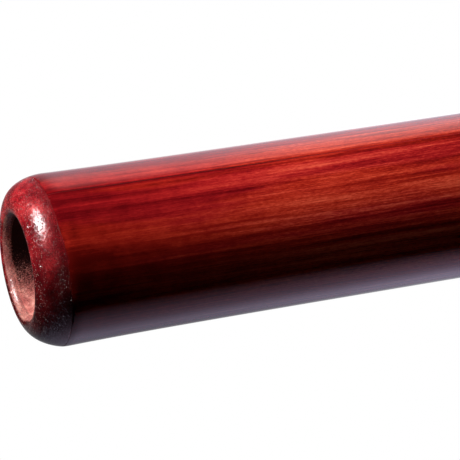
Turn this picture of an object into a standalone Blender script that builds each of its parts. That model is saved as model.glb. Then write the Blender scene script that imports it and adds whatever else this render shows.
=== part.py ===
"""A didgeridoo built the split-log way, standing upright on its bell end.

A timber tube is sawn lengthwise, hollowed as two half shells, and glued together again on locating
dowels. A turned mouth ring with a spigot closes the playing end. Every glue film is a piece of its own.

Frame: metres, +Z up the bore towards the mouth, origin at the centre of the bell end's flat face.
The seam lies in the XZ plane, so the two halves are the front one (-Y) and the back one (+Y).
Depths called s are measured down from the mouth's crest.
"""

import math

import bmesh
import bpy
from mathutils import Matrix, Vector

MM = 0.001

# The tube
TOTAL_LENGTH = 1250 * MM
NECK_RADIUS = 27.45 * MM
BELL_RADIUS = 40 * MM
OUTER_FLARE_POWER = 1.6
BORE_RADIUS = 14.5 * MM
BELL_BORE_RADIUS = 31 * MM
BORE_FLARE_POWER = 2.2
BELL_EDGE_ROUND = 2.5 * MM
BELL_BORE_CHAMFER = 1.2 * MM

# The mouth end: the tube swells a little towards a big round-over, a superellipse from the flat crest
# out to the side. It was shaped by hand, so each value has an uneven part, which is largest on one side.
HEAVY_SIDE = math.radians(223)
SWELL = 0.54 * MM
SWELL_UNEVEN = 0.18 * MM
SWELL_FADE = 24 * MM
ROUND_OVER = 11.7 * MM
CREST_RADIUS = 15 * MM
AXIAL_EXPONENT = 1.45
AXIAL_UNEVEN = -0.09
RADIAL_EXPONENT = 3.5
RADIAL_UNEVEN = -0.43

# The opening: a funnel into the bore with a well-rounded lip. It was shaped by hand too, and sits a
# little off the bore's axis, towards the heavy side.
OPENING_RADIUS = 16.2 * MM
OPENING_OFFSET = 0.8 * MM
LIP_ROUND = 3 * MM

# The mouth ring's joint: a slightly slanting shoulder, and a spigot in a counterbore
RING_HEIGHT = 8.7 * MM
RING_UNEVEN = 1.2 * MM
SPIGOT_RADIUS = 21 * MM
SPIGOT_END = 28 * MM

# Joints and fits
GAP = 0.3 * MM
GLUE_THICKNESS = 0.4 * MM
SEAM_OFFSET = GLUE_THICKNESS / 2 + GAP
JOINT_OPENING = GLUE_THICKNESS + 2 * GAP
DOWEL_RADIUS = 2 * MM
DOWEL_LENGTH = 12 * MM
DOWEL_CHAMFER = 0.5 * MM
DOWEL_SIDES = 14
DOWEL_DEPTHS = [100 * MM, 430 * MM, 790 * MM, 1150 * MM]

# How finely the round shapes are divided
TUBE_STEPS = 16
HALF_TURN_STEPS = 20
RING_TURN_STEPS = 48
RIM_STEPS = 13
FUNNEL_STEPS = 5
LIP_STEPS = 4
ROUND_STEPS = 3

COLOURS = {
    "stained_wood": ((0.30, 0.012, 0.010), 0.12),
    "mouth_wood": ((0.26, 0.010, 0.014), 0.40),
    "glue": ((0.035, 0.004, 0.003), 0.30),
    "dowel_wood": ((0.52, 0.34, 0.18), 0.60),
}


def clear_scene():
    for obj in list(bpy.data.objects):
        bpy.data.objects.remove(obj)


def make_material(name):
    colour, roughness = COLOURS[name]
    material = bpy.data.materials.new(name)
    material.use_nodes = True
    shader = material.node_tree.nodes["Principled BSDF"]
    shader.inputs["Base Color"].default_value = (*colour, 1)
    shader.inputs["Roughness"].default_value = roughness
    shader.inputs["Metallic"].default_value = 0
    return material


# ---------------------------------------------------------------- the shape of the tube

def heaviness(angle):
    """1 on the side where the mouth end is fullest, and -1 on the opposite side."""
    return math.cos(angle - HEAVY_SIDE)


def body_radius(s, angle):
    """The tube's outer radius past the round-over."""
    swelling = (SWELL + SWELL_UNEVEN * heaviness(angle)) * math.exp((ROUND_OVER - s) / SWELL_FADE)
    flare = (BELL_RADIUS - NECK_RADIUS) * (s / TOTAL_LENGTH) ** OUTER_FLARE_POWER
    return NECK_RADIUS + swelling + flare


def bore_radius(s):
    return BORE_RADIUS + (BELL_BORE_RADIUS - BORE_RADIUS) * (s / TOTAL_LENGTH) ** BORE_FLARE_POWER


def ring_joint_depth(angle):
    return RING_HEIGHT + RING_UNEVEN * heaviness(angle)


def opening_radius(angle):
    """From the bore's axis to the narrow edge of the rounded lip."""
    return OPENING_RADIUS + OPENING_OFFSET * heaviness(angle)


def rim_exponents(angle):
    side = heaviness(angle)
    return AXIAL_EXPONENT + AXIAL_UNEVEN * side, RADIAL_EXPONENT + RADIAL_UNEVEN * side


def rim_point(turn, angle):
    """(radius, depth) on the rim's superellipse, from 0 at the crest to a right angle at the side."""
    axial, radial = rim_exponents(angle)
    width = body_radius(ROUND_OVER, angle) - CREST_RADIUS
    radius = CREST_RADIUS + width * math.sin(turn) ** (2 / radial)
    return radius, ROUND_OVER * (1 - max(math.cos(turn), 0) ** (2 / axial))


def rim_turn_at_depth(s, angle):
    return math.acos((1 - s / ROUND_OVER) ** (rim_exponents(angle)[0] / 2))


def rim_turn_at_radius(radius, angle):
    share = (radius - CREST_RADIUS) / (body_radius(ROUND_OVER, angle) - CREST_RADIUS)
    return math.asin(share ** (rim_exponents(angle)[1] / 2))


def outer_radius(s, angle):
    if s >= ROUND_OVER:
        return body_radius(s, angle)
    return rim_point(rim_turn_at_depth(s, angle), angle)[0]


# ---------------------------------------------------------------- building meshes

def place(radius, s, angle, seam_side=0):
    """A point at a radius, depth and angle. With a seam side, it lies on that half's flat seam face."""
    height = TOTAL_LENGTH - s
    if not seam_side:
        return Vector((radius * math.cos(angle), radius * math.sin(angle), height))
    across = math.copysign(math.sqrt(radius**2 - SEAM_OFFSET**2), math.cos(angle))
    return Vector((across, seam_side * SEAM_OFFSET, height))


def skin(name, sections, material, closed):
    """Joins closed loops of points with faces. An open run of sections gets a cap at each end."""
    mesh = bmesh.new()
    loops = [[mesh.verts.new(point) for point in section] for section in sections]
    pairs = list(zip(loops, loops[1:]))
    if closed:
        pairs.append((loops[-1], loops[0]))
    else:
        mesh.faces.new(loops[0])
        mesh.faces.new(loops[-1])
    for first, second in pairs:
        for i in range(len(first)):
            mesh.faces.new((first[i - 1], first[i], second[i], second[i - 1]))
    bmesh.ops.recalc_face_normals(mesh, faces=mesh.faces)
    return finish_mesh(name, mesh, material)


def finish_mesh(name, mesh, material):
    data = bpy.data.meshes.new(name)
    mesh.to_mesh(data)
    mesh.free()
    data.shade_smooth()
    data.set_sharp_from_angle(angle=math.radians(35))
    if material:
        data.materials.append(material)
    obj = bpy.data.objects.new(name, data)
    bpy.context.collection.objects.link(obj)
    return obj


# ---------------------------------------------------------------- the pieces

def shell_profile(angle, bell_lift=0):
    """(radius, depth) round one wall of the tube: down the outside, across the bell end, up the bore."""
    end = TOTAL_LENGTH - bell_lift
    top = ring_joint_depth(angle) + JOINT_OPENING
    outside = [top, top + 1.5 * MM, top + 4 * MM, top + 8 * MM]
    first = SPIGOT_END
    last = end - BELL_EDGE_ROUND
    outside += [first + (last - first) * i / TUBE_STEPS for i in range(TUBE_STEPS + 1)]
    loop = [(outer_radius(s, angle), s) for s in outside]
    edge_radius = body_radius(last, angle)
    for i in range(1, ROUND_STEPS + 1):
        turn = math.pi / 2 * i / ROUND_STEPS
        inset = BELL_EDGE_ROUND * (1 - math.cos(turn))
        loop.append((edge_radius - inset, last + BELL_EDGE_ROUND * math.sin(turn)))
    chamfer_start = end - BELL_BORE_CHAMFER
    bore_bottom = bore_radius(chamfer_start)
    loop.append((bore_bottom + BELL_BORE_CHAMFER, end))
    counterbore_end = SPIGOT_END + GAP
    for i in range(TUBE_STEPS + 1):
        s = chamfer_start + (counterbore_end - chamfer_start) * i / TUBE_STEPS
        loop.append((bore_radius(s), s))
    loop.append((SPIGOT_RADIUS + GAP, counterbore_end))
    loop.append((SPIGOT_RADIUS + GAP, top))
    return loop


def make_half_shell(name, seam_side, material, cutter):
    """One hollowed half of the split timber. seam_side is +1 for the back half and -1 for the front one."""
    sections = []
    for i in range(HALF_TURN_STEPS + 1):
        angle = seam_side * math.pi * i / HALF_TURN_STEPS
        on_seam = seam_side if i in (0, HALF_TURN_STEPS) else 0
        sections.append([place(r, s, angle, on_seam) for r, s in shell_profile(angle)])
    shell = skin(name, sections, material, closed=False)
    cut_dowel_holes(shell, cutter)
    return shell


def make_seam_glue(name, angle, material, cutter):
    """The cured glue film along one seam, standing a hair above the surface the tube stands on."""
    sections = []
    for y in (-GLUE_THICKNESS / 2, GLUE_THICKNESS / 2):
        points = [place(r, s, angle) for r, s in shell_profile(angle, bell_lift=0.5 * MM)]
        sections.append([Vector((p.x, y, p.z)) for p in points])
    film = skin(name, sections, material, closed=False)
    cut_dowel_holes(film, cutter)
    return film


def ring_profile(angle):
    """(radius, depth) round the mouth ring: out over the rim, in along the shoulder, up the bore."""
    shoulder = ring_joint_depth(angle)
    opening = opening_radius(angle)
    first_turn = rim_turn_at_radius(opening + LIP_ROUND, angle)
    last_turn = rim_turn_at_depth(shoulder, angle)
    loop = []
    for i in range(RIM_STEPS + 1):
        share = (i / RIM_STEPS) ** 1.6
        loop.append(rim_point(first_turn + (last_turn - first_turn) * share, angle))
    loop.append((SPIGOT_RADIUS, shoulder))
    loop.append((SPIGOT_RADIUS, SPIGOT_END))
    for i in range(FUNNEL_STEPS + 1):
        share = i / FUNNEL_STEPS
        widening = (opening - BORE_RADIUS) * share**2
        loop.append((BORE_RADIUS + widening, SPIGOT_END + (LIP_ROUND - SPIGOT_END) * share))
    crest = loop[0][1]
    for i in range(1, LIP_STEPS):
        turn = math.pi / 2 * i / LIP_STEPS
        radius = opening + LIP_ROUND * (1 - math.cos(turn))
        loop.append((radius, crest + (LIP_ROUND - crest) * (1 - math.sin(turn))))
    return loop


def make_mouth_ring(material):
    """The turned ring that the lips seal on: a rounded rim, a shoulder, and a spigot inside the tube."""
    sections = []
    for i in range(RING_TURN_STEPS):
        angle = 2 * math.pi * i / RING_TURN_STEPS
        sections.append([place(r, s, angle) for r, s in ring_profile(angle)])
    return skin("mouth_ring", sections, material, closed=True)


def make_mouth_glue(material):
    """The washer of cured glue between the ring's shoulder and the tube's end."""
    sections = []
    for i in range(RING_TURN_STEPS):
        angle = 2 * math.pi * i / RING_TURN_STEPS
        upper = ring_joint_depth(angle) + GAP
        lower = upper + GLUE_THICKNESS
        inner = SPIGOT_RADIUS + GAP
        loop = [(inner, upper), (outer_radius(upper, angle), upper)]
        loop += [(outer_radius(lower, angle), lower), (inner, lower)]
        sections.append([place(r, s, angle) for r, s in loop])
    return skin("mouth_ring_glue", sections, material, closed=True)


def dowel_places():
    """(name, centre) of each locating dowel, in the middle of the wall on both seams."""
    places = []
    for side, label, angle in ((1, "right", 0), (-1, "left", math.pi)):
        for number, s in enumerate(DOWEL_DEPTHS, 1):
            middle = (body_radius(s, angle) + bore_radius(s)) / 2
            places.append((f"{label}_dowel_{number}", Vector((side * middle, 0, TOTAL_LENGTH - s))))
    return places


def add_peg(mesh, centre, radius, length, chamfer):
    """A chamfered round peg lying along Y."""
    half = length / 2
    along = [-half, -half + chamfer, half - chamfer, half]
    radii = [radius - chamfer, radius, radius, radius - chamfer]
    rings = []
    for y, r in zip(along, radii):
        turns = [2 * math.pi * k / DOWEL_SIDES for k in range(DOWEL_SIDES)]
        rings.append([mesh.verts.new(centre + Vector((r * math.cos(t), y, r * math.sin(t)))) for t in turns])
    mesh.faces.new(rings[0])
    mesh.faces.new(rings[-1])
    for first, second in zip(rings, rings[1:]):
        for k in range(DOWEL_SIDES):
            mesh.faces.new((first[k - 1], first[k], second[k], second[k - 1]))


def make_dowels(material):
    """Eight like pegs, each placed by its location and sharing one mesh."""
    mesh = bmesh.new()
    add_peg(mesh, Vector(), DOWEL_RADIUS, DOWEL_LENGTH, DOWEL_CHAMFER)
    bmesh.ops.recalc_face_normals(mesh, faces=mesh.faces)
    (first_name, first_place), *others = dowel_places()
    first = finish_mesh(first_name, mesh, material)
    first.matrix_world = Matrix.Translation(first_place)
    for name, centre in others:
        dowel = bpy.data.objects.new(name, first.data)
        dowel.matrix_world = Matrix.Translation(centre)
        bpy.context.collection.objects.link(dowel)


def make_dowel_cutter():
    """All the dowel holes as one cutter, which the build leaves out."""
    mesh = bmesh.new()
    for _, centre in dowel_places():
        add_peg(mesh, centre, DOWEL_RADIUS + GAP, DOWEL_LENGTH + 2 * GAP, DOWEL_CHAMFER)
    bmesh.ops.recalc_face_normals(mesh, faces=mesh.faces)
    cutter = finish_mesh("dowel_hole_cutter", mesh, None)
    cutter.hide_render = True
    cutter.display_type = "WIRE"
    return cutter


def cut_dowel_holes(obj, cutter):
    cut = obj.modifiers.new("dowel holes", "BOOLEAN")
    cut.operation = "DIFFERENCE"
    cut.solver = "EXACT"
    cut.object = cutter


def main():
    clear_scene()
    materials = {name: make_material(name) for name in COLOURS}
    cutter = make_dowel_cutter()
    make_half_shell("front_half_shell", -1, materials["stained_wood"], cutter)
    make_half_shell("back_half_shell", 1, materials["stained_wood"], cutter)
    make_seam_glue("right_seam_glue", 0, materials["glue"], cutter)
    make_seam_glue("left_seam_glue", math.pi, materials["glue"], cutter)
    make_mouth_ring(materials["mouth_wood"])
    make_mouth_glue(materials["glue"])
    make_dowels(materials["dowel_wood"])


main()
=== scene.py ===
# %% [markdown]
# # A red-stained didgeridoo
#
# This lesson gives a finished surface to a didgeridoo whose parts are already designed. The design comes
# in as a frame of plain solids: two hollowed half shells, the glue between them, a turned mouth ring with
# its own glue, and the dowels. Nothing here moves or resizes a part. Each cell models one piece or one
# finish, and says what it is on the real instrument.

# %% Load the frame
import math

import bmesh
import bpy
from mathutils import Matrix, Vector, noise


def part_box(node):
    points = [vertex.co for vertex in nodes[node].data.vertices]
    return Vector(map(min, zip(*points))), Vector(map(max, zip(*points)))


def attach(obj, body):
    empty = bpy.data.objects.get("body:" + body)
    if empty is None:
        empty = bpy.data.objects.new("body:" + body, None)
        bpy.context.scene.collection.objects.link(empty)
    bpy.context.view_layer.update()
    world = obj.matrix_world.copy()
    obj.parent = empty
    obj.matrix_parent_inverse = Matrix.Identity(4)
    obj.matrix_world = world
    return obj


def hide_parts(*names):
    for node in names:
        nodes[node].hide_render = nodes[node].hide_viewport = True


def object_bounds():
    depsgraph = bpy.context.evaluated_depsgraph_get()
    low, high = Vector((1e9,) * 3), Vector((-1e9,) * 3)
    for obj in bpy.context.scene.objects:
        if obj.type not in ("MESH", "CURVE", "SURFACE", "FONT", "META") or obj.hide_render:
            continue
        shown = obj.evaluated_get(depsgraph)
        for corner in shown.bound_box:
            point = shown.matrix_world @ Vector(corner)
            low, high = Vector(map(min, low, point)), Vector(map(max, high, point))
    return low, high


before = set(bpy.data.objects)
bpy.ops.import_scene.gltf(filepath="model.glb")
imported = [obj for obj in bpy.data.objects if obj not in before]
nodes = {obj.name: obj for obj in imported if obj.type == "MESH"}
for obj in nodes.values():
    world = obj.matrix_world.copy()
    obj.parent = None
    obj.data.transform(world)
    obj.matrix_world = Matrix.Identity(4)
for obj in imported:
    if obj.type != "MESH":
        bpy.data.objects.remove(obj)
cad_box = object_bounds()
print("parts in the frame:", ", ".join(sorted(nodes)))

# %% [markdown]
# ## Where things are
#
# The instrument stands on its bell with the bore along Z. All sizes are read from the frame, so that they
# follow the design. Depths along the bore, called s, are measured down from the crest of the mouth. Two
# directions are handy: FACING points from the bore towards the viewer, and ABOVE is the side that the
# light comes from.

# %% Sizes from the frame
MM = 0.001
TOP = cad_box[1].z
BELL_RADIUS = (cad_box[1].x - cad_box[0].x) / 2
SPIGOT_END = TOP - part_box("mouth_ring")[0].z
FACING_ANGLE = math.radians(-47)
FACING = Vector((math.cos(FACING_ANGLE), math.sin(FACING_ANGLE), 0))
ABOVE = Vector((-FACING.y, FACING.x, 0))
UP = Vector((0, 0, 1))
print(f"length {TOP:.3f} m, bell radius {BELL_RADIUS / MM:.1f} mm, spigot ends at {SPIGOT_END / MM:.1f} mm")


# %% [markdown]
# ## The shape of the tube and the mouth
#
# The tube is turned, so one formula gives its radius at each depth: a slow flare to the bell, and a small
# swelling that grows towards the mouth. The rim is a superellipse, which is flatter on the crest and
# fuller at the shoulder than a plain quarter circle. It was finished by hand, so it is a little fuller on
# one side. A formula is better than a list of points here, because it can be read at any fineness.

# %% The outline of the design
NECK_RADIUS = 27.45 * MM
OUTER_FLARE_POWER = 1.6
BORE_RADIUS = 14.5 * MM
BELL_BORE_RADIUS = 31 * MM
BORE_FLARE_POWER = 2.2
BELL_EDGE_ROUND = 2.5 * MM
BELL_BORE_CHAMFER = 1.2 * MM
HEAVY_SIDE = math.radians(223)
SWELL, SWELL_UNEVEN, SWELL_FADE = 0.54 * MM, 0.18 * MM, 24 * MM
ROUND_OVER = 11.7 * MM
CREST_RADIUS = 15 * MM
OPENING_RADIUS, OPENING_OFFSET = 16.2 * MM, 0.8 * MM
LIP_ROUND = 3 * MM
AXIAL_POWER, AXIAL_UNEVEN = 1.45, 0.09
RADIAL_POWER, RADIAL_UNEVEN = 3.5, 0.43
RING_HEIGHT, RING_UNEVEN = 8.7 * MM, 1.2 * MM
SPIGOT_RADIUS = 21 * MM


def heaviness(angle):
    return math.cos(angle - HEAVY_SIDE)


def body_radius(s, angle):
    swelling = (SWELL + SWELL_UNEVEN * heaviness(angle)) * math.exp((ROUND_OVER - s) / SWELL_FADE)
    return NECK_RADIUS + swelling + (BELL_RADIUS - NECK_RADIUS) * (s / TOP) ** OUTER_FLARE_POWER


def bore_radius(s):
    return BORE_RADIUS + (BELL_BORE_RADIUS - BORE_RADIUS) * (s / TOP) ** BORE_FLARE_POWER


def ring_joint_depth(angle):
    return RING_HEIGHT + RING_UNEVEN * heaviness(angle)


def opening_radius(angle):
    return OPENING_RADIUS + OPENING_OFFSET * heaviness(angle)


def rim_powers(angle):
    """The superellipse's powers, along the bore and across it."""
    axial = AXIAL_POWER - AXIAL_UNEVEN * heaviness(angle)
    radial = RADIAL_POWER - RADIAL_UNEVEN * heaviness(angle)
    return axial, radial


def rim_point(turn, angle):
    """(radius, depth) on the rim, from 0 at the crest to a right angle at the side."""
    axial, radial = rim_powers(angle)
    width = body_radius(ROUND_OVER, angle) - CREST_RADIUS
    radius = CREST_RADIUS + width * math.sin(turn) ** (2 / radial)
    return radius, ROUND_OVER * (1 - max(math.cos(turn), 0) ** (2 / axial))


def rim_turn_at_depth(s, angle):
    axial, _ = rim_powers(angle)
    return math.acos((1 - min(s / ROUND_OVER, 1)) ** (axial / 2))


def rim_turn_at_radius(radius, angle):
    _, radial = rim_powers(angle)
    share = (radius - CREST_RADIUS) / (body_radius(ROUND_OVER, angle) - CREST_RADIUS)
    return math.asin(share ** (radial / 2))


def outer_radius(s, angle):
    if s >= ROUND_OVER:
        return body_radius(s, angle)
    return rim_point(rim_turn_at_depth(s, angle), angle)[0]


print(f"neck {2 * NECK_RADIUS / MM:.1f} mm across, rim joint {RING_HEIGHT / MM:.1f} mm below the crest")

# %% [markdown]
# ## Building turned meshes
#
# Every round piece is a closed loop of points, its section, carried round the bore. The section is a list
# of (radius, depth) pairs, and it may change with the angle. Faces are given a finish by where they lie
# along the section, so that the outside of a tube can be glossy and its bore left raw.

# %% Helpers for meshes
SHARP_ANGLE = math.radians(35)


def place(radius, s, angle):
    return Vector((radius * math.cos(angle), radius * math.sin(angle), TOP - s))


def skin(name, sections, closed, finishes, materials):
    """Joins sections with faces. finishes gives each face round a section the number of its material.

    Closed sections run all round the bore. Open ones get a flat cap at each end, in the last material.
    """
    mesh = bmesh.new()
    loops = [[mesh.verts.new(point) for point in section] for section in sections]
    pairs = list(zip(loops, loops[1:]))
    if closed:
        pairs.append((loops[-1], loops[0]))
    else:
        for cap in (loops[0], loops[-1]):
            mesh.faces.new(cap).material_index = len(materials) - 1
    for first, second in pairs:
        for i in range(len(first)):
            face = mesh.faces.new((first[i - 1], first[i], second[i], second[i - 1]))
            face.material_index = finishes[i]
    bmesh.ops.recalc_face_normals(mesh, faces=mesh.faces)
    data = bpy.data.meshes.new(name)
    mesh.to_mesh(data)
    mesh.free()
    data.shade_smooth()
    data.set_sharp_from_angle(angle=SHARP_ANGLE)
    for material in materials:
        data.materials.append(material)
    obj = bpy.data.objects.new(name, data)
    bpy.context.scene.collection.objects.link(obj)
    print(f"{name}: {len(data.polygons)} faces")
    return obj


# %% [markdown]
# ## Shader helpers
#
# The finishes are node trees. These short helpers add a node, join two sockets, and cover the handful of
# nodes that are used over and over: noise, simple sums, colour ramps and mixes.

# %% Helpers for shaders
def add(tree, kind, **settings):
    made = tree.nodes.new(kind)
    for key, value in settings.items():
        setattr(made, key, value)
    return made


def feed(tree, socket, value):
    if isinstance(value, bpy.types.NodeSocket):
        tree.links.new(value, socket)
    else:
        socket.default_value = value


def sum_node(tree, operation, a, b=0.0, clamp=False):
    made = add(tree, "ShaderNodeMath", operation=operation, use_clamp=clamp)
    feed(tree, made.inputs[0], a)
    feed(tree, made.inputs[1], b)
    return made.outputs[0]


def span(tree, value, low, high, new_low=0.0, new_high=1.0, kind="LINEAR"):
    """Maps a value from one range to another and keeps it inside."""
    made = add(tree, "ShaderNodeMapRange", interpolation_type=kind)
    for socket, given in zip(made.inputs, (value, low, high, new_low, new_high)):
        feed(tree, socket, given)
    return made.outputs[0]


def from_to(tree, share, start, end):
    """Goes from start to end as share goes from 0 to 1."""
    return span(tree, share, 0, 1, start, end)


def noise_of(tree, vector, scale, detail=2.0, roughness=0.5):
    made = add(tree, "ShaderNodeTexNoise")
    feed(tree, made.inputs["Vector"], vector)
    feed(tree, made.inputs["Scale"], scale)
    made.inputs["Detail"].default_value = detail
    made.inputs["Roughness"].default_value = roughness
    return made.outputs["Fac"]


def stretch(tree, vector, scale):
    made = add(tree, "ShaderNodeMapping", vector_type="POINT")
    feed(tree, made.inputs["Vector"], vector)
    made.inputs["Scale"].default_value = scale
    return made.outputs["Vector"]


def ramp(tree, value, stops):
    made = add(tree, "ShaderNodeValToRGB")
    band = made.color_ramp
    while len(band.elements) < len(stops):
        band.elements.new(0.5)
    for element, (position, colour) in zip(band.elements, stops):
        element.position = position
        element.color = (*colour, 1)
    feed(tree, made.inputs["Fac"], value)
    return made.outputs["Color"]


def vector_sum(tree, operation, a, b):
    made = add(tree, "ShaderNodeVectorMath", operation=operation)
    feed(tree, made.inputs[0], a)
    feed(tree, made.inputs[1], b)
    return made.outputs["Vector"]


def vector_length(tree, vector):
    made = add(tree, "ShaderNodeVectorMath", operation="LENGTH")
    feed(tree, made.inputs[0], vector)
    return made.outputs["Value"]


def mix_values(tree, share, a, b):
    made = add(tree, "ShaderNodeMix", data_type="FLOAT")
    value_inputs = [socket for socket in made.inputs if socket.type == "VALUE"]
    for socket, given in zip(value_inputs, (share, a, b)):
        feed(tree, socket, given)
    return made.outputs[0]


def mix_colours(tree, share, a, b, mode="MIX"):
    made = add(tree, "ShaderNodeMix", data_type="RGBA", blend_type=mode)
    colour_inputs = [socket for socket in made.inputs if socket.type == "RGBA"]
    feed(tree, made.inputs["Factor"], share)
    for socket, given in zip(colour_inputs, (a, b)):
        feed(tree, socket, given if isinstance(given, bpy.types.NodeSocket) else (*given, 1))
    return [socket for socket in made.outputs if socket.type == "RGBA"][0]


def new_group(name, inputs, outputs):
    """An empty shader group. inputs gives names, types and defaults, and outputs the names of values."""
    group = bpy.data.node_groups.new(name, "ShaderNodeTree")
    for socket_name, kind, default in inputs:
        socket = group.interface.new_socket(socket_name, in_out="INPUT", socket_type=kind)
        socket.default_value = default
    for socket_name in outputs:
        group.interface.new_socket(socket_name, in_out="OUTPUT", socket_type="NodeSocketFloat")
    return group, add(group, "NodeGroupInput").outputs, add(group, "NodeGroupOutput").inputs


def use_group(tree, group, **values):
    made = add(tree, "ShaderNodeGroup", node_tree=group)
    for key, value in values.items():
        feed(tree, made.inputs[key.replace("_", " ")], value)
    return made.outputs


def new_material(name, colour_guess):
    """A material with its Principled shader. colour_guess is what a plain viewport shows."""
    material = bpy.data.materials.new(name)
    material.use_nodes = True
    material.diffuse_color = (*colour_guess, 1)
    tree = material.node_tree
    return material, tree, tree.nodes["Principled BSDF"]


def raise_surface(tree, height, strength, distance):
    bump = add(tree, "ShaderNodeBump")
    feed(tree, bump.inputs["Height"], height)
    bump.inputs["Strength"].default_value = strength
    bump.inputs["Distance"].default_value = distance
    return bump.outputs["Normal"]


# %% [markdown]
# ## Grain, the first shared effect
#
# Hardwood sawn along the log shows several things at once: broad bands where the growth rings meet the
# surface, finer streaks inside them, thin fibres, and a short mottle where the dye soaked in unevenly.
# All of it runs along the bore. Solid noise, sampled in a space that is squeezed along Z, draws lines
# that run lengthwise and wrap round the tube with no seam. The group is built once, and each timber gives
# it its own offset, so that the two halves of the split don't carry the same figure.

# %% The lengthwise grain group
GRAIN_LAYERS = [
    # (output, how much Z is squeezed, scale across the grain, noise detail, noise roughness)
    ("Bands", 0.012, 250, 3, 0.55),
    ("Streaks", 0.022, 760, 4, 0.62),
    ("Fibres", 0.05, 2300, 2, 0.6),
    ("Mottle", 0.20, 3000, 3, 0.7),
    ("Warmth", 0.10, 105, 3, 0.6),
]
WANDER_SQUEEZE, WANDER_SCALE, WANDER_REACH = 0.12, 45, 1.6 * MM


def build_grain_group():
    layers = [layer[0] for layer in GRAIN_LAYERS]
    group, given, out = new_group("lengthwise_grain", [("Offset", "NodeSocketVector", (0, 0, 0))], layers)
    coordinates = add(group, "ShaderNodeTexCoord").outputs["Object"]
    base = vector_sum(group, "ADD", coordinates, given["Offset"])
    # the lines wander a trace sideways as they run
    wander = add(group, "ShaderNodeTexNoise")
    feed(group, wander.inputs["Vector"], stretch(group, base, (1, 1, WANDER_SQUEEZE)))
    wander.inputs["Scale"].default_value = WANDER_SCALE
    shift = vector_sum(group, "MULTIPLY", wander.outputs["Color"], (WANDER_REACH, WANDER_REACH, 0))
    path = vector_sum(group, "ADD", base, shift)
    for name, squeeze, scale, detail, roughness in GRAIN_LAYERS:
        squeezed = stretch(group, path, (1, 1, squeeze))
        feed(group, out[name], noise_of(group, squeezed, scale, detail, roughness))
    return group


grain_group = build_grain_group()
print("grain layers:", [layer[0] for layer in GRAIN_LAYERS])

# %% [markdown]
# ## End grain, the second shared effect
#
# Across the rim and inside the bore the fibres are cut through. Their open ends stay as tiny pits that
# the stain darkens and a thin satin coat only half fills, so the surface is granular, and single grains
# catch the light. The facets do that: every cell of a Voronoi pattern is tipped a little its own way, so its
# small flat face mirrors the light when its neighbours don't.

# %% The end grain group
GRAIN_SIZE = 0.34  # millimetres
CLOUD_SCALE = 170
LEAST_STEEPNESS, MOST_STEEPNESS = 105.0, 980.0


def build_speckle_group():
    group, given, out = new_group(
        "end_grain_speckle",
        [("Grain Size", "NodeSocketFloat", GRAIN_SIZE)],
        ["Pits", "Painted Glints", "Clouds", "Grit", "Facets"],
    )
    coordinates = add(group, "ShaderNodeTexCoord").outputs["Object"]
    per_metre = sum_node(group, "DIVIDE", 1 / MM, given["Grain Size"])
    cells = add(group, "ShaderNodeTexVoronoi", feature="F1")
    feed(group, cells.inputs["Vector"], coordinates)
    feed(group, cells.inputs["Scale"], per_metre)
    each_cell = add(group, "ShaderNodeSeparateColor")
    feed(group, each_cell.inputs[0], cells.outputs["Color"])
    core = span(group, cells.outputs["Distance"], 0.6, 0.2)
    # rather more than a third of the cells are open pits, and one in ten carries a painted glint
    chosen_dark = span(group, each_cell.outputs[0], 0.60, 0.66)
    chosen_light = span(group, each_cell.outputs[1], 0.86, 0.93)
    feed(group, out["Pits"], sum_node(group, "MULTIPLY", chosen_dark, core))
    feed(group, out["Painted Glints"], sum_node(group, "MULTIPLY", chosen_light, core))
    feed(group, out["Clouds"], noise_of(group, coordinates, CLOUD_SCALE, 4, 0.6))
    grit_scale = sum_node(group, "MULTIPLY", per_metre, 0.8)
    feed(group, out["Grit"], noise_of(group, coordinates, grit_scale, 2, 0.6))
    # height above the cell's middle, in millimetres, on a plane tipped by the cell's random colour
    from_middle = vector_sum(group, "SUBTRACT", coordinates, cells.outputs["Position"])
    tip = vector_sum(group, "SUBTRACT", cells.outputs["Color"], (0.5, 0.5, 0.5))
    plane = add(group, "ShaderNodeVectorMath", operation="DOT_PRODUCT")
    feed(group, plane.inputs[0], from_middle)
    feed(group, plane.inputs[1], tip)
    # three cells in four are tipped the least, and the last few are steep
    steepness = span(group, each_cell.outputs[2], 0.74, 0.98, LEAST_STEEPNESS, MOST_STEEPNESS)
    feed(group, out["Facets"], sum_node(group, "MULTIPLY", plane.outputs["Value"], steepness))
    return group


speckle_group = build_speckle_group()
print(f"end grain in cells of {GRAIN_SIZE} mm")

# %% [markdown]
# ## Where each finish ends
#
# The lacquer was brushed on by hand, and it stops near the mouth ring's joint in a slightly wandering
# edge. Inside the lip the pale wash of the bore carries painted light and shade: it is paler towards the
# heavy side, whose inner wall faces the light, and on the lip's edge, and it goes to near-black painted
# shade on the other side. A third group works out these zones from the place on the object, so the ring
# and both halves agree on where the edge runs.

# %% The zones at the mouth
EDGE_WANDER = 4 * MM
EDGE_SCALE = 130


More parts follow.
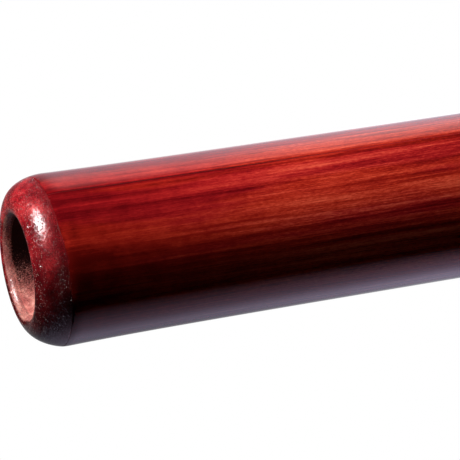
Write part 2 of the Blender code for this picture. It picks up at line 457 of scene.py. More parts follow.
def build_zone_group():
    group, given, out = new_group(
        "mouth_zones",
        [("Wander", "NodeSocketFloat", EDGE_WANDER)],
        ["Depth", "Bare", "Inside", "Painted Light", "Lean", "Joint Edge"],
    )
    coordinates = add(group, "ShaderNodeTexCoord").outputs["Object"]
    parts = add(group, "ShaderNodeSeparateXYZ")
    feed(group, parts.inputs[0], coordinates)
    depth = sum_node(group, "SUBTRACT", TOP, parts.outputs["Z"])
    flat = vector_sum(group, "MULTIPLY", coordinates, (1, 1, 0))
    radius = vector_length(group, flat)
    heavy = (math.cos(HEAVY_SIDE), math.sin(HEAVY_SIDE), 0)
    along_heavy = add(group, "ShaderNodeVectorMath", operation="DOT_PRODUCT")
    feed(group, along_heavy.inputs[0], flat)
    along_heavy.inputs[1].default_value = heavy
    lean = sum_node(group, "DIVIDE", along_heavy.outputs["Value"], radius)
    joint = sum_node(group, "ADD", sum_node(group, "MULTIPLY", lean, RING_UNEVEN), RING_HEIGHT)
    wander = sum_node(group, "SUBTRACT", noise_of(group, coordinates, EDGE_SCALE, 3, 0.6), 0.5)
    wander = sum_node(group, "MULTIPLY", wander, given["Wander"])
    past = sum_node(group, "SUBTRACT", sum_node(group, "SUBTRACT", depth, joint), wander)
    feed(group, out["Depth"], depth)
    feed(group, out["Lean"], lean)
    feed(group, out["Bare"], span(group, past, 0.8 * MM, 0.4 * MM, kind="SMOOTHSTEP"))
    feed(group, out["Joint Edge"], span(group, past, -2.6 * MM, -0.4 * MM, kind="SMOOTHSTEP"))
    # the lip is centred a little off the axis
    centred = vector_sum(group, "SUBTRACT", flat, tuple(OPENING_OFFSET * c for c in heavy))
    ragged = sum_node(group, "MULTIPLY", wander, 0.5)
    lip = sum_node(group, "ADD", vector_length(group, centred), ragged)
    feed(group, out["Inside"], span(group, lip, 18.1 * MM, 17.3 * MM, kind="SMOOTHSTEP"))
    # painted light: the wash is paler towards the heavy side, whose inner wall faces the light, and all
    # round on the lip's edge, where the light reaches
    on_lip = span(group, depth, 4.0 * MM, 1.8 * MM, 0.0, 1.15, "SMOOTHSTEP")
    feed(group, out["Painted Light"], sum_node(group, "ADD", lean, on_lip))
    return group


zone_group = build_zone_group()
print("groups:", [group.name for group in (grain_group, speckle_group, zone_group)])

# %% [markdown]
# ## Red dye under a gloss lacquer
#
# The outside is dyed a deep red and lacquered. Dye is like a filter: where the timber took more of it the
# colour turns darker and also purer, so dark streaks are crimson and thin spots go to orange. Two colour
# ramps along the grain, one cool and one warm, do that better than darkening a single red. The lacquer is
# a smooth clear coat that keeps sharp reflections. On the rim the same dye lies on end grain, under a
# satin coat and no gloss one, and its facets glitter.

# %% The dyed finish
CRIMSON = [
    (0.00, (0.130, 0.0025, 0.0045)),
    (0.30, (0.280, 0.0065, 0.0090)),
    (0.50, (0.430, 0.0150, 0.0150)),
    (0.70, (0.600, 0.0350, 0.0260)),
    (1.00, (0.820, 0.0980, 0.0560)),
]
ORANGE = [
    (0.00, (0.170, 0.0050, 0.0035)),
    (0.30, (0.380, 0.0150, 0.0080)),
    (0.50, (0.560, 0.0320, 0.0150)),
    (0.70, (0.740, 0.0640, 0.0300)),
    (1.00, (0.940, 0.1400, 0.0680)),
]
END_GRAIN = [
    (0.28, (0.150, 0.0035, 0.0070)),
    (0.48, (0.400, 0.0090, 0.0160)),
    (0.66, (0.760, 0.0330, 0.0400)),
]
WASH = [
    (0.30, (0.380, 0.0800, 0.0760)),
    (0.50, (0.600, 0.1800, 0.1500)),
    (0.68, (0.900, 0.4000, 0.3200)),
]
DARK_DYE = (0.030, 0.0020, 0.0025)
# near-black painted shade inside the mouth, on the side away from the light
PAINTED_SHADE_INSIDE = (0.010, 0.0008, 0.0010)
# the pale pink of painted glints on single grains
PAINTED_GLINT = (0.95, 0.58, 0.53)
RIM_PAINTED_SHADE = [
    # painted shade on the rim, darker towards the heavy side, away from the light: (lean towards the heavy
    # side, from -1 to 1, and how much of the colour is left)
    (-0.50, 1.00),
    (0.00, 0.68),
    (0.30, 0.36),
    (0.55, 0.20),
    (1.00, 0.15),
]
RIM_ROUGHNESS, INSIDE_ROUGHNESS = 0.19, 0.30
FACET_TIP, JOINT_FACET_TIP = 1.0, 0.35
GRIT_HEIGHT, FIBRE_HEIGHT = 0.03, 0.02  # millimetres
LACQUER_ROUGHNESS, LACQUER_IOR = 0.03, 1.45
print(f"dye shades: {len(CRIMSON)} cool, {len(ORANGE)} warm, {len(END_GRAIN)} on the end grain")

# %% The figure of the side grain
GROWTH_BANDS = [
    # (middle and half width across the seam, weight near the mouth and far down)
    (0.0, 0.8 * MM, -0.28, -0.06),
    (-1.5 * MM, 2.3 * MM, -0.08, -0.19),
    (-4.6 * MM, 1.5 * MM, -0.16, 0.18),
    (-9.0 * MM, 2.8 * MM, -0.12, 0.00),
    (5.2 * MM, 3.6 * MM, 0.16, 0.06),
    (14.9 * MM, 5.2 * MM, -0.08, -0.38),
]
BAND_CORE = 0.55
BANDS_NEAR, BANDS_FAR = 30 * MM, 100 * MM
FIGURE_NEAR, FIGURE_FAR = 20 * MM, 110 * MM
NEAR_STRENGTH = 0.42


def centred_sum(tree, parts):
    """Adds up (value, weight) pairs, each value measured from its middle, 0.5."""
    total = 0.0
    for value, weight in parts:
        away = sum_node(tree, "SUBTRACT", value, 0.5)
        total = sum_node(tree, "ADD", sum_node(tree, "MULTIPLY", away, weight), total)
    return total


def growth_bands(tree, zones):
    """Broad dark and pale growth rings beside the seam, each with its own strength near the mouth."""
    along = add(tree, "ShaderNodeSeparateXYZ")
    feed(tree, along.inputs[0], add(tree, "ShaderNodeTexCoord").outputs["Object"])
    bands = 0.0
    for middle, half_width, near_weight, far_weight in GROWTH_BANDS:
        away = sum_node(tree, "ABSOLUTE", sum_node(tree, "SUBTRACT", along.outputs["Y"], middle))
        band = span(tree, away, half_width, BAND_CORE * half_width, kind="SMOOTHSTEP")
        weight = span(tree, zones["Depth"], BANDS_NEAR, BANDS_FAR, near_weight, far_weight)
        bands = sum_node(tree, "ADD", sum_node(tree, "MULTIPLY", band, weight), bands)
    return bands


print(f"{len(GROWTH_BANDS)} growth bands beside each seam")


def near_mouth_shade(tree, zones):
    """How much darker the timber is close to the joint. The extra darkening towards the heavy side, which
    faces away from the light, is painted shade.
    """
    depth = zones["Depth"]
    shade = span(tree, depth, 16 * MM, 48 * MM, -0.13, 0.0)
    shade = sum_node(tree, "ADD", shade, span(tree, depth, 9 * MM, 16 * MM, -0.12, 0.0))
    # painted shade towards the heavy side, which faces away from the light
    heavy = span(tree, zones["Lean"], -0.35, 0.05, kind="SMOOTHSTEP")
    heavy = sum_node(tree, "MULTIPLY", heavy, span(tree, depth, 14 * MM, 40 * MM, -0.12, 0.0))
    return sum_node(tree, "ADD", shade, heavy)


def side_grain_colour(tree, grain, zones, clouds):
    """The dyed timber. Its figure is strong along the tube and blotchy near the mouth."""
    far = span(tree, zones["Depth"], FIGURE_NEAR, FIGURE_FAR, 0.0, 1.0, "SMOOTHSTEP")
    strength = from_to(tree, far, NEAR_STRENGTH, 1.0)
    lines = centred_sum(tree, [(grain["Bands"], 2.1), (grain["Streaks"], 1.7)])
    fine = centred_sum(tree, [(grain["Fibres"], 0.60), (grain["Mottle"], 1.10)])
    blotches = centred_sum(tree, [(clouds, 0.55)])
    figure = from_to(tree, far, 0.38, 0.52)
    for part, share in (
        (lines, strength),
        (fine, strength),
        (blotches, from_to(tree, far, 1.0, 0.2)),
    ):
        figure = sum_node(tree, "ADD", figure, sum_node(tree, "MULTIPLY", part, share))
    figure = sum_node(tree, "ADD", figure, near_mouth_shade(tree, zones))
    figure = sum_node(tree, "ADD", figure, growth_bands(tree, zones), clamp=True)
    # near the mouth the timber is warmer towards the heavy side
    flank = span(tree, zones["Lean"], -0.45, -0.14, -0.11, 0.12)
    flank = sum_node(tree, "MULTIPLY", flank, from_to(tree, far, 1.0, 0.0))
    warm = sum_node(tree, "ADD", grain["Warmth"], flank)
    warm = sum_node(tree, "ADD", warm, from_to(tree, far, 0.0, 0.06))
    warm = span(tree, warm, 0.42, 0.62, kind="SMOOTHSTEP")
    return mix_colours(tree, warm, ramp(tree, figure, CRIMSON), ramp(tree, figure, ORANGE))


# %% The end grain of the rim and the mouth
def inside_colour(tree, speckle, zones):
    """The wash in the mouth's funnel, with painted light and shade: pale where the light reaches, and grain
    by grain it gives way to near-black painted shade on the side away from the light. Some pale grains are
    painted glints.
    """
    wash = ramp(tree, speckle["Clouds"], WASH)
    uneven = centred_sum(tree, [(speckle["Grit"], 1.9), (speckle["Clouds"], 0.6)])
    painted_light_amount = sum_node(tree, "ADD", zones["Painted Light"], uneven)
    # painted light: pale where the light reaches the inside, near-black painted shade where it doesn't
    painted_light = span(tree, painted_light_amount, -0.12, 0.85, kind="SMOOTHSTEP")
    shade_to_wash = mix_colours(tree, painted_light, PAINTED_SHADE_INSIDE, wash)
    # painted glints, where the inside carries painted light
    share = span(tree, painted_light, 0.05, 0.5, 0.0, 0.8)
    painted_glints = sum_node(tree, "MULTIPLY", speckle["Painted Glints"], share)
    return mix_colours(tree, painted_glints, shade_to_wash, PAINTED_GLINT)


def end_grain_colour(tree, speckle, zones):
    """The dyed rim, fading to the pale wash inside the lip. It is darker towards the heavy side, which faces
    away from the light, as painted shade, and painted glints are strongest on the crest.
    """
    rim = ramp(tree, speckle["Clouds"], END_GRAIN)
    # painted shade: the rim darkens towards the heavy side, which faces away from the light
    stops = [((lean + 1) / 2, [share] * 3) for lean, share in RIM_PAINTED_SHADE]
    left = ramp(tree, span(tree, zones["Lean"], -1, 1), stops)
    rim = mix_colours(tree, 1.0, rim, left, "MULTIPLY")
    rim = mix_colours(tree, from_to(tree, zones["Joint Edge"], 0.0, 0.35), rim, DARK_DYE)
    both = mix_colours(tree, zones["Inside"], rim, inside_colour(tree, speckle, zones))
    gritty = mix_colours(tree, span(tree, speckle["Grit"], 0.62, 0.35, 0.0, 0.6), both, DARK_DYE)
    pitted = mix_colours(tree, sum_node(tree, "MULTIPLY", speckle["Pits"], 0.75), gritty, DARK_DYE)
    # painted glints, strongest on the crest
    crest = span(tree, zones["Depth"], 3.2 * MM, 0.8 * MM, 0.12, 0.55)
    return mix_colours(tree, sum_node(tree, "MULTIPLY", speckle["Painted Glints"], crest), pitted, PAINTED_GLINT)


# %% The dyed finishes
def make_dyed_finish(name, offset, shine):
    """Side grain under gloss lacquer, and satin end grain at the mouth. shine is the specular level under
    the coat.
    """
    material, tree, shader = new_material(name, (0.35, 0.02, 0.015))
    grain = use_group(tree, grain_group, Offset=offset)
    speckle = use_group(tree, speckle_group, Grain_Size=GRAIN_SIZE)
    zones = use_group(tree, zone_group, Wander=EDGE_WANDER)
    bare = zones["Bare"]
    side = side_grain_colour(tree, grain, zones, speckle["Clouds"])
    end = end_grain_colour(tree, speckle, zones)
    feed(tree, shader.inputs["Base Color"], mix_colours(tree, bare, side, end))
    smooth = span(tree, grain["Streaks"], 0.3, 0.7, 0.45, 0.35)
    satin = from_to(tree, zones["Inside"], RIM_ROUGHNESS, INSIDE_ROUGHNESS)
    feed(tree, shader.inputs["Roughness"], mix_values(tree, bare, smooth, satin))
    feed(tree, shader.inputs["Coat Weight"], from_to(tree, bare, 1.0, 0.0))
    tip = from_to(tree, zones["Joint Edge"], FACET_TIP, JOINT_FACET_TIP)
    facets = sum_node(tree, "MULTIPLY", speckle["Facets"], tip)
    facets = sum_node(tree, "ADD", facets, sum_node(tree, "MULTIPLY", speckle["Grit"], GRIT_HEIGHT))
    fibres = sum_node(tree, "MULTIPLY", grain["Fibres"], FIBRE_HEIGHT)
    height = mix_values(tree, bare, fibres, facets)
    feed(tree, shader.inputs["Normal"], raise_surface(tree, height, 1.0, MM))
    shader.inputs["Coat Roughness"].default_value = LACQUER_ROUGHNESS
    shader.inputs["Coat IOR"].default_value = LACQUER_IOR
    shader.inputs["Specular IOR Level"].default_value = shine
    return material


front_timber = make_dyed_finish("front_stained_timber", (0.31, 0.07, 0.0), shine=0)
back_timber = make_dyed_finish("back_stained_timber", (0.05, 0.43, 0.6), shine=0)
rim_wood = make_dyed_finish("rim_end_grain", (0.12, 0.2, 0.3), shine=0.5)
print("dyed finishes:", [material.name for material in (front_timber, back_timber, rim_wood)])

# %% [markdown]
# ## The raw bore, the glue and the dowels
#
# The bore was washed with the dye and never coated, so it stays dull. The glue in the seam is nearly
# black near the mouth and dark red further down, where it took some dye. Dowels are plain hardwood.

# %% The other finishes
GLUE_TONES = [(0.35, (0.035, 0.0015, 0.0025)), (0.65, (0.100, 0.0035, 0.0045))]
GLUE_AT_JOINT = (0.15, 0.0050, 0.0070)
GLUE_FAR_DOWN = (0.34, 0.0100, 0.0120)
DOWEL_TONES = [(0.3, (0.42, 0.25, 0.12)), (0.7, (0.64, 0.45, 0.26))]
DULL = 0.1


def make_bore_wood():
    material, tree, shader = new_material("raw_bore", (0.30, 0.08, 0.07))
    speckle = use_group(tree, speckle_group, Grain_Size=GRAIN_SIZE)
    zones = use_group(tree, zone_group, Wander=EDGE_WANDER)
    wash = ramp(tree, speckle["Clouds"], WASH)
    # near the lip the bore takes the inside colour, with its painted light and shade
    near = inside_colour(tree, speckle, zones)
    deep = mix_colours(tree, 0.45, wash, DARK_DYE)
    blend = mix_colours(tree, span(tree, zones["Depth"], 20 * MM, 60 * MM), near, deep)
    pitted = mix_colours(tree, sum_node(tree, "MULTIPLY", speckle["Pits"], 0.7), blend, DARK_DYE)
    feed(tree, shader.inputs["Base Color"], pitted)
    feed(tree, shader.inputs["Roughness"], span(tree, speckle["Grit"], 0.3, 0.7, 0.65, 0.5))
    feed(tree, shader.inputs["Normal"], raise_surface(tree, speckle["Grit"], 0.8, 0.06 * MM))
    shader.inputs["Specular IOR Level"].default_value = DULL
    return material


def make_glue():
    material, tree, shader = new_material("dark_glue", (0.04, 0.004, 0.004))
    grain = use_group(tree, grain_group, Offset=(0.2, 0.2, 0.1))
    zones = use_group(tree, zone_group, Wander=EDGE_WANDER)
    tone = ramp(tree, grain["Streaks"], GLUE_TONES)
    past_joint = span(tree, zones["Depth"], 11 * MM, 13 * MM)
    stained = mix_colours(tree, past_joint, GLUE_AT_JOINT, tone)
    far_down = span(tree, zones["Depth"], 75 * MM, 120 * MM)
    dyed = mix_colours(tree, far_down, stained, GLUE_FAR_DOWN)
    feed(tree, shader.inputs["Base Color"], dyed)
    feed(tree, shader.inputs["Roughness"], span(tree, grain["Fibres"], 0.3, 0.7, 0.35, 0.5))
    shader.inputs["Specular IOR Level"].default_value = DULL
    return material


def make_dowel_wood():
    material, tree, shader = new_material("planed_dowel", (0.52, 0.34, 0.18))
    grain = use_group(tree, grain_group, Offset=(0.7, 0.1, 0.3))
    tone = ramp(tree, grain["Bands"], DOWEL_TONES)
    feed(tree, shader.inputs["Base Color"], tone)
    feed(tree, shader.inputs["Roughness"], span(tree, grain["Fibres"], 0.3, 0.7, 0.5, 0.7))
    return material


bore_wood = make_bore_wood()
glue = make_glue()
dowel_wood = make_dowel_wood()
print("other finishes:", [material.name for material in (bore_wood, glue, dowel_wood)])

# %% [markdown]
# ## The two half shells
#
# The tube was sawn lengthwise, hollowed and glued together. Each visible half repeats the designed solid
# with a finer mesh, and its flat seam face stops a hundredth of a millimetre from the glue film, so that
# the two don't cut into each other. Its dowel holes are cut with round pegs, as a drill would cut them.

# %% Half shells
SEAM_HALF = 0.16 * MM
GLUE_LINE_HALF = 0.15 * MM
JOINT_TOP, JOINT_BOTTOM = 0.40 * MM, 0.60 * MM
HALF_TURN_STEPS = 112
TUBE_STEPS, EDGE_STEPS = 90, 8
TUBE_STEP_POWER = 1.7  # more steps near the mouth than near the bell
SPIGOT_GAP, SPIGOT_END_GAP = 0.1 * MM, 0.2 * MM
OUTSIDE, BORE = 0, 1


def shell_profile(angle, bell_lift=0.0):
    """(radius, depth, finish) round the tube's wall."""
    end = TOP - bell_lift
    start = ring_joint_depth(angle) + JOINT_BOTTOM
    last = end - BELL_EDGE_ROUND
    loop = []
    for i in range(TUBE_STEPS + 1):
        s = start + (last - start) * (i / TUBE_STEPS) ** TUBE_STEP_POWER
        loop.append((outer_radius(s, angle), s, OUTSIDE))
    for i in range(1, EDGE_STEPS + 1):
        turn = math.pi / 2 * i / EDGE_STEPS
        edge = body_radius(last, angle) - BELL_EDGE_ROUND * (1 - math.cos(turn))
        loop.append((edge, last + BELL_EDGE_ROUND * math.sin(turn), OUTSIDE))
    chamfer_start = end - BELL_BORE_CHAMFER
    loop.append((bore_radius(chamfer_start) + BELL_BORE_CHAMFER, end, BORE))
    counterbore_end = SPIGOT_END + SPIGOT_END_GAP
    for i in range(TUBE_STEPS + 1):
        s = chamfer_start + (counterbore_end - chamfer_start) * i / TUBE_STEPS
        loop.append((bore_radius(s), s, BORE))
    loop.append((SPIGOT_RADIUS + SPIGOT_GAP, counterbore_end, BORE))
    loop.append((SPIGOT_RADIUS + SPIGOT_GAP, start, BORE))
    return loop


def seam_point(radius, s, angle, side):
    """A point on a half's flat seam face, a hair off the middle plane."""
    across = math.copysign(math.sqrt(radius**2 - SEAM_HALF**2), math.cos(angle))
    return Vector((across, side * SEAM_HALF, TOP - s))


def make_half_shell(name, side, timber, node):
    sections = []
    for i in range(HALF_TURN_STEPS + 1):
        angle = side * math.pi * i / HALF_TURN_STEPS
        profile = shell_profile(angle)
        if i in (0, HALF_TURN_STEPS):
            sections.append([seam_point(r, s, angle, side) for r, s, _ in profile])
        else:
            sections.append([place(r, s, angle) for r, s, _ in profile])
    finishes = [finish for _, _, finish in profile]
    finishes[0] = BORE  # the flat top edge under the mouth ring is raw too
    shell = skin(name, sections, False, finishes, [timber, bore_wood])
    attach(shell, "root")
    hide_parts(node)
    return shell


front_half = make_half_shell("front_timber_half", -1, front_timber, "front_half_shell")
back_half = make_half_shell("back_timber_half", 1, back_timber, "back_half_shell")

# %% Dowel holes
HOLE_GAP = 0.15 * MM
HOLE_SIDES = 32


def make_hole_cutter():
    """One peg for each dowel in the frame, a little wider and longer than the dowel."""
    mesh = bmesh.new()
    for name in sorted(nodes):
        if "dowel" not in name:
            continue
        low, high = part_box(name)
        middle, size = (low + high) / 2, high - low
        along_y = Matrix.Translation(middle) @ Matrix.Rotation(math.pi / 2, 4, "X")
        radius = size.x / 2 + HOLE_GAP
        length = size.y + 2 * HOLE_GAP
        bmesh.ops.create_cone(
            mesh, cap_ends=True, segments=HOLE_SIDES,
            radius1=radius, radius2=radius, depth=length, matrix=along_y,
        )
    data = bpy.data.meshes.new("dowel_hole_cutter")
    mesh.to_mesh(data)
    mesh.free()
    cutter = bpy.data.objects.new("dowel_hole_cutter", data)
    bpy.context.scene.collection.objects.link(cutter)
    return cutter


def cut_holes(piece, cutter):
    """Cuts the holes and keeps the result as the piece's own mesh."""
    cut = piece.modifiers.new("dowel holes", "BOOLEAN")
    cut.operation, cut.solver, cut.object = "DIFFERENCE", "EXACT", cutter
    bpy.context.view_layer.update()
    evaluated = piece.evaluated_get(bpy.context.evaluated_depsgraph_get())
    result = bpy.data.meshes.new_from_object(evaluated)
    piece.modifiers.clear()
    piece.data = result
    print(f"{piece.name}: {len(result.polygons)} faces with its dowel holes")


cutter = make_hole_cutter()
for shell in (front_half, back_half):
    cut_holes(shell, cutter)

# %% [markdown]
# ## The glue lines
#
# Where the halves meet, a hair of dark glue shows along the whole tube. It is a thin flat plate between
# the seam faces, its edge a trace below the surface, where the glue shrank as it dried.

# %% Seam glue
GLUE_SINK = 0.02 * MM
GLUE_BELL_GAP = 0.5 * MM


def make_seam_line(name, angle, node):
    profile = shell_profile(angle, bell_lift=GLUE_BELL_GAP)
    sections = []
    for y in (-GLUE_LINE_HALF, GLUE_LINE_HALF):
        section = []
        for radius, s, finish in profile:
            sunk = radius - GLUE_SINK if finish == OUTSIDE else radius + GLUE_SINK
            section.append(Vector((math.copysign(sunk, math.cos(angle)), y, TOP - s)))
        sections.append(section)
    line = skin(name, sections, False, [0] * len(profile), [glue])
    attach(line, "root")
    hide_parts(node)
    return line


seam_lines = [make_seam_line("right_seam_line", 0, "right_seam_glue"),
              make_seam_line("left_seam_line", math.pi, "left_seam_glue")]
for line in seam_lines:
    cut_holes(line, cutter)
bpy.data.objects.remove(cutter)

# %% [markdown]
# ## The mouth ring
#
# The ring is what the player's lips seal on. Its rim is a full round-over, its bore opens as a shallow
# funnel, and its end grain is never quite smooth. The mesh is fine enough to carry a slight lumpiness of
# its own, about a hundredth of a millimetre high, which bends the highlight. That is too low to show in
# the outline, and the glittering facets come from the shader alone.

# %% Mouth ring
RING_TURN_STEPS = 420
RIM_STEPS, FUNNEL_STEPS, LIP_STEPS = 90, 70, 16
RIM_STEP_POWER = 1.1
SPIGOT_BAND = 0.2 * MM
LUMP_HEIGHT = 0.014 * MM
LUMP_SCALE, FINE_LUMP_SCALE, FINE_LUMP_SHARE = 1100, 2600, 0.5


def ring_profile(angle):
    """(radius, depth, finish) round the ring. Its rim and its lip count as the outside."""
    shoulder = ring_joint_depth(angle) + JOINT_TOP
    opening = opening_radius(angle)
    first_turn = rim_turn_at_radius(opening + LIP_ROUND, angle)
    last_turn = rim_turn_at_depth(shoulder, angle)
    loop = []
    for i in range(RIM_STEPS + 1):
        turn = first_turn + (last_turn - first_turn) * (i / RIM_STEPS) ** RIM_STEP_POWER
        loop.append((*rim_point(turn, angle), OUTSIDE))
    loop.append((SPIGOT_RADIUS, shoulder, BORE))
    loop.append((SPIGOT_RADIUS, SPIGOT_END, BORE))
    for i in range(FUNNEL_STEPS + 1):
        share = i / FUNNEL_STEPS
        s = SPIGOT_END + (LIP_ROUND - SPIGOT_END) * share
        loop.append((BORE_RADIUS + (opening - BORE_RADIUS) * share**2, s, BORE))
    crest = loop[0][1]
    for i in range(1, LIP_STEPS):
        turn = math.pi / 2 * i / LIP_STEPS
        radius = opening + LIP_ROUND * (1 - math.cos(turn))
        loop.append((radius, crest + (LIP_ROUND - crest) * (1 - math.sin(turn)), OUTSIDE))
    return loop


def add_lumps(ring):
    """Moves each point but the spigot's along its normal by solid noise, for a slight lumpiness."""
    ring.data.update()
    moves = []
    for vertex in ring.data.vertices:
        radius = math.hypot(vertex.co.x, vertex.co.y)
        depth = TOP - vertex.co.z
        on_spigot = abs(radius - SPIGOT_RADIUS) < SPIGOT_BAND and depth > RING_HEIGHT - 2 * RING_UNEVEN
        lump = noise.noise(vertex.co * LUMP_SCALE)
        lump += FINE_LUMP_SHARE * noise.noise(vertex.co * FINE_LUMP_SCALE)
        moves.append(vertex.normal * (0 if on_spigot else lump * LUMP_HEIGHT))
    for vertex, move in zip(ring.data.vertices, moves):
        vertex.co += move


def make_mouth_ring():
    sections = []
    for i in range(RING_TURN_STEPS):
        angle = 2 * math.pi * i / RING_TURN_STEPS
        profile = ring_profile(angle)
        sections.append([place(r, s, angle) for r, s, _ in profile])
    finishes = [finish for _, _, finish in profile]
    ring = skin("turned_mouth_ring", sections, True, finishes, [rim_wood, bore_wood])
    add_lumps(ring)
    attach(ring, "root")
    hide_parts("mouth_ring")
    return ring


mouth_ring = make_mouth_ring()
print(f"{mouth_ring.name}: lumps of about {LUMP_HEIGHT / MM:.3f} mm")

# %% Glue under the mouth ring
JOINT_GAP = 0.01 * MM


def make_joint_line():
    sections = []
    for i in range(RING_TURN_STEPS):
        angle = 2 * math.pi * i / RING_TURN_STEPS
        upper = ring_joint_depth(angle) + JOINT_TOP + JOINT_GAP
        lower = ring_joint_depth(angle) + JOINT_BOTTOM - JOINT_GAP
        inner = SPIGOT_RADIUS + SPIGOT_GAP
        loop = [(inner, upper), (outer_radius(upper, angle) - GLUE_SINK, upper)]
        loop += [(outer_radius(lower, angle) - GLUE_SINK, lower), (inner, lower)]
        sections.append([place(r, s, angle) for r, s in loop])
    line = skin("mouth_joint_line", sections, True, [0] * len(loop), [glue])
    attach(line, "root")
    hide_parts("mouth_ring_glue")
    return line


joint_line = make_joint_line()
print(f"{joint_line.name}: in a joint {(JOINT_BOTTOM - JOINT_TOP) / MM:.1f} mm wide")

# %% [markdown]
# ## The dowels
#
# The designed dowels are right as they are. They only get their timber.

# %% Dowel finish
for name in sorted(nodes):
    if "dowel" in name:
        nodes[name].data.materials.clear()
        nodes[name].data.materials.append(dowel_wood)
print("dowels finished:", sum("dowel" in name for name in nodes))

# %% [markdown]
# ## The studio
#
# A glossy round thing shows its surroundings. The room here is white behind the instrument and dark in
# front of it, and the white wall's edges become the two long reflections on the tube. The room is painted
# on the world by direction, and only mirror-like rays see it. Its steps of brightness, and a violet tint
# on the dark side, were tuned by trial until the reflections looked right. Area lights do the lighting.
# The soft box high on the lit side is split in two: one light makes the highlight on the rim, and
# another, a few degrees on, lights the timber.

# %% The room that the lacquer reflects
ROOM = [
    # (degrees round from FACING towards ABOVE, brightness, colour)
    (-180, 0.85, (1, 1, 1)),
    (-170, 0.57, (1, 1, 1.05)),
    (-162, 0.41, (1.03, 1, 1.12)),
    (-152, 0.38, (1.12, 1, 1.30)),
    (-142, 0.56, (1.15, 1, 1.40)),
    (-132, 0.73, (1.22, 1, 1.42)),
    (-122, 0.70, (1.32, 1, 1.44)),
    (-112, 0.54, (1.45, 1, 1.46)),
    (-102, 0.43, (1.60, 1, 1.48)),
    (-92, 0.29, (1.70, 1, 1.45)),
    (-84, 0.16, (1.70, 1, 1.40)),
    (-76, 0.0, (1, 1, 1)),
    (98, 0.0, (1, 1, 1)),
    (107, 0.85, (1, 1, 1)),
    (126, 1.2, (1, 1, 1.05)),
    (136, 1.0, (1, 1, 1.14)),
    (152, 0.76, (1, 1, 1.18)),
    (160, 0.86, (1, 1, 1.12)),
    (168, 1.25, (1, 1, 1.06)),
    (180, 1.35, (1, 1, 1)),
]
# how bright the walls are at each height: (sine of the elevation, share), on the dark and the lit side
LOW_ON_BOTH_WALLS = [(-0.50, 1.0), (-0.41, 0.93), (-0.36, 0.74), (-0.31, 0.60)]
DARK_SIDE_WALL = LOW_ON_BOTH_WALLS + [(-0.20, 0.44), (0.15, 0.26), (0.45, 0.0)]
LIT_SIDE_WALL = LOW_ON_BOTH_WALLS + [(-0.20, 0.36), (-0.06, 0.12), (0.30, 0.0)]
WALL_GAIN = 1.35
WALLS_MEET = 0.1  # radians either side of FACING


def make_world():
    world = bpy.data.worlds.new("studio")
    bpy.context.scene.world = world
    world.use_nodes = True
    tree = world.node_tree
    background = tree.nodes["Background"]
    direction = add(tree, "ShaderNodeTexCoord").outputs["Generated"]

    def along(axis):
        made = add(tree, "ShaderNodeVectorMath", operation="DOT_PRODUCT")
        feed(tree, made.inputs[0], direction)
        made.inputs[1].default_value = axis
        return made.outputs["Value"]

    turn = sum_node(tree, "ARCTAN2", along(ABOVE), along(FACING))
    share = span(tree, turn, -math.pi, math.pi)
    stops = [((angle + 180) / 360, [brightness * c for c in colour]) for angle, brightness, colour in ROOM]
    panorama = ramp(tree, share, stops)
    height = span(tree, along(UP), -1, 1)
    dark, lit = [
        ramp(tree, height, [((sine + 1) / 2, [WALL_GAIN * level] * 3) for sine, level in wall])
        for wall in (DARK_SIDE_WALL, LIT_SIDE_WALL)
    ]
    level = mix_colours(tree, span(tree, turn, -WALLS_MEET, WALLS_MEET), dark, lit)
    panorama = mix_colours(tree, 1.0, panorama, level, "MULTIPLY")
    camera_ray = add(tree, "ShaderNodeLightPath").outputs["Is Camera Ray"]
    seen = mix_colours(tree, camera_ray, panorama, (1, 1, 1))
    feed(tree, background.inputs["Color"], seen)
    world.cycles_visibility.diffuse = False
    return world


world = make_world()
bpy.context.scene.view_settings.view_transform = "Standard"
print(f"{world.name}: {len(ROOM)} steps of brightness round the instrument")

# %% Lights
def direction_to(turn_degrees, height_degrees):
    """A direction from the bore: turned from FACING towards ABOVE, then raised."""
    turn, height = math.radians(turn_degrees), math.radians(height_degrees)
    level = FACING * math.cos(turn) + ABOVE * math.sin(turn)
    return level * math.cos(height) + UP * math.sin(height)


def make_soft_box(name, target, turn, height, distance, size, radiance, mirrored=False):
    """An area light that faces its target. radiance is its own brightness, whatever its size.

    A mirrored one shows only as a highlight. The others light the timber and aren't mirrored.
    """
    light = bpy.data.lights.new(name, "AREA")
    light.shape = "RECTANGLE"
    light.size, light.size_y = size
    light.energy = radiance * math.pi * size[0] * size[1]
    obj = bpy.data.objects.new(name, light)
    bpy.context.scene.collection.objects.link(obj)
    away = direction_to(turn, height)
    obj.location = target + away * distance
    obj.rotation_euler = away.to_track_quat("Z", "Y").to_euler()
    obj.visible_camera = False
    obj.visible_glossy = mirrored
    obj.visible_diffuse = not mirrored
    return obj


MOUTH = Vector((0, 0, TOP))
MIDDLE = Vector((0, 0, TOP / 2))
# name, target, turn and height in degrees, distance, size, radiance
lights = [
    make_soft_box("key_mirror", MOUTH, 69, 45, 1.2, (0.6, 0.45), 42, mirrored=True),
    make_soft_box("key_soft_box", MOUTH, 74, 45, 1.2, (0.4, 0.4), 40),
    make_soft_box("low_soft_box", MOUTH, 78, 8, 1.4, (0.4, 0.4), 15),
    make_soft_box("side_wall", MIDDLE, 120, 0, 1.4, (0.8, 1.0), 1.0),
    make_soft_box("back_wall", MIDDLE, 195, 0, 1.6, (0.8, 1.0), 1.4),
]
print("lights:", [light.name for light in lights])

# %% The floor
FLOOR_EDGE = [(0.9, 0), (0.915, -0.004), (0.92, -0.012), (0.92, -0.03)]  # radius and height, top to bottom
FLOOR_SIDES = 96
PALE = (0.8, 0.8, 0.8)


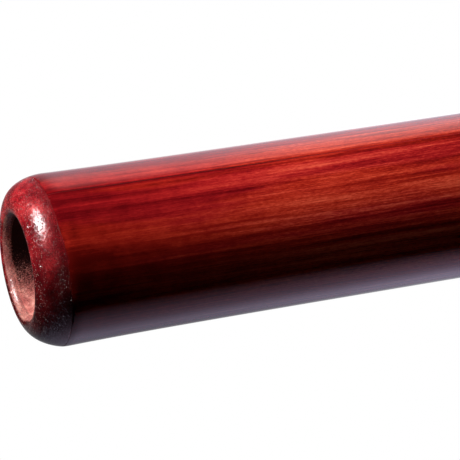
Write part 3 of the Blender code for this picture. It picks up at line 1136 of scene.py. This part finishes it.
def make_floor():
    """A round pale slab with an eased edge."""
    mesh = bmesh.new()
    rings = []
    turns = [2 * math.pi * i / FLOOR_SIDES for i in range(FLOOR_SIDES)]
    for radius, z in FLOOR_EDGE:
        rings.append([mesh.verts.new((radius * math.cos(t), radius * math.sin(t), z)) for t in turns])
    mesh.faces.new(rings[0])
    mesh.faces.new(list(reversed(rings[-1])))
    for upper, lower in zip(rings, rings[1:]):
        for i in range(FLOOR_SIDES):
            mesh.faces.new((upper[i - 1], lower[i - 1], lower[i], upper[i]))
    bmesh.ops.recalc_face_normals(mesh, faces=mesh.faces)
    data = bpy.data.meshes.new("floor")
    mesh.to_mesh(data)
    mesh.free()
    data.shade_smooth()
    data.set_sharp_from_angle(angle=SHARP_ANGLE)
    floor = bpy.data.objects.new("floor", data)
    bpy.context.scene.collection.objects.link(floor)
    material, _, shader = new_material("pale_floor", PALE)
    shader.inputs["Base Color"].default_value = (*PALE, 1)
    shader.inputs["Roughness"].default_value = 0.6
    data.materials.append(material)
    return floor


floor = make_floor()
print(f"{floor.name}: {FLOOR_EDGE[-1][0]} m in radius")

# %% [markdown]
# ## The camera
#
# It looks slightly down at the mouth end from a short way off, through a long lens, and it is rolled so
# that the standing instrument lies across the picture, rising by nine degrees.

# %% Camera
AIM_DEPTH = 73.1 * MM
AIM_RAISE = 0.45 * MM
CAMERA_DISTANCE = 0.7245
LOOKING_DOWN = 19.56
RISE = 8.94
LENS = 172.25
SENSOR_WIDTH = 36
NEAREST_SEEN = 0.05


def make_camera():
    data = bpy.data.cameras.new("camera")
    data.lens = LENS
    data.sensor_width = SENSOR_WIDTH
    data.clip_start = NEAREST_SEEN
    camera = bpy.data.objects.new("camera", data)
    bpy.context.scene.collection.objects.link(camera)
    aim = Vector((0, 0, TOP - AIM_DEPTH)) + ABOVE * AIM_RAISE
    away = direction_to(0, LOOKING_DOWN)
    level_down = direction_to(0, LOOKING_DOWN - 90)
    top = ABOVE * math.cos(math.radians(RISE)) + level_down * math.sin(math.radians(RISE))
    right = top.cross(away)
    camera.matrix_world = Matrix((right, top, away)).transposed().to_4x4()
    camera.location = aim + away * CAMERA_DISTANCE
    bpy.context.scene.camera = camera
    return camera


camera = make_camera()
print("camera at", [round(value, 3) for value in camera.location])
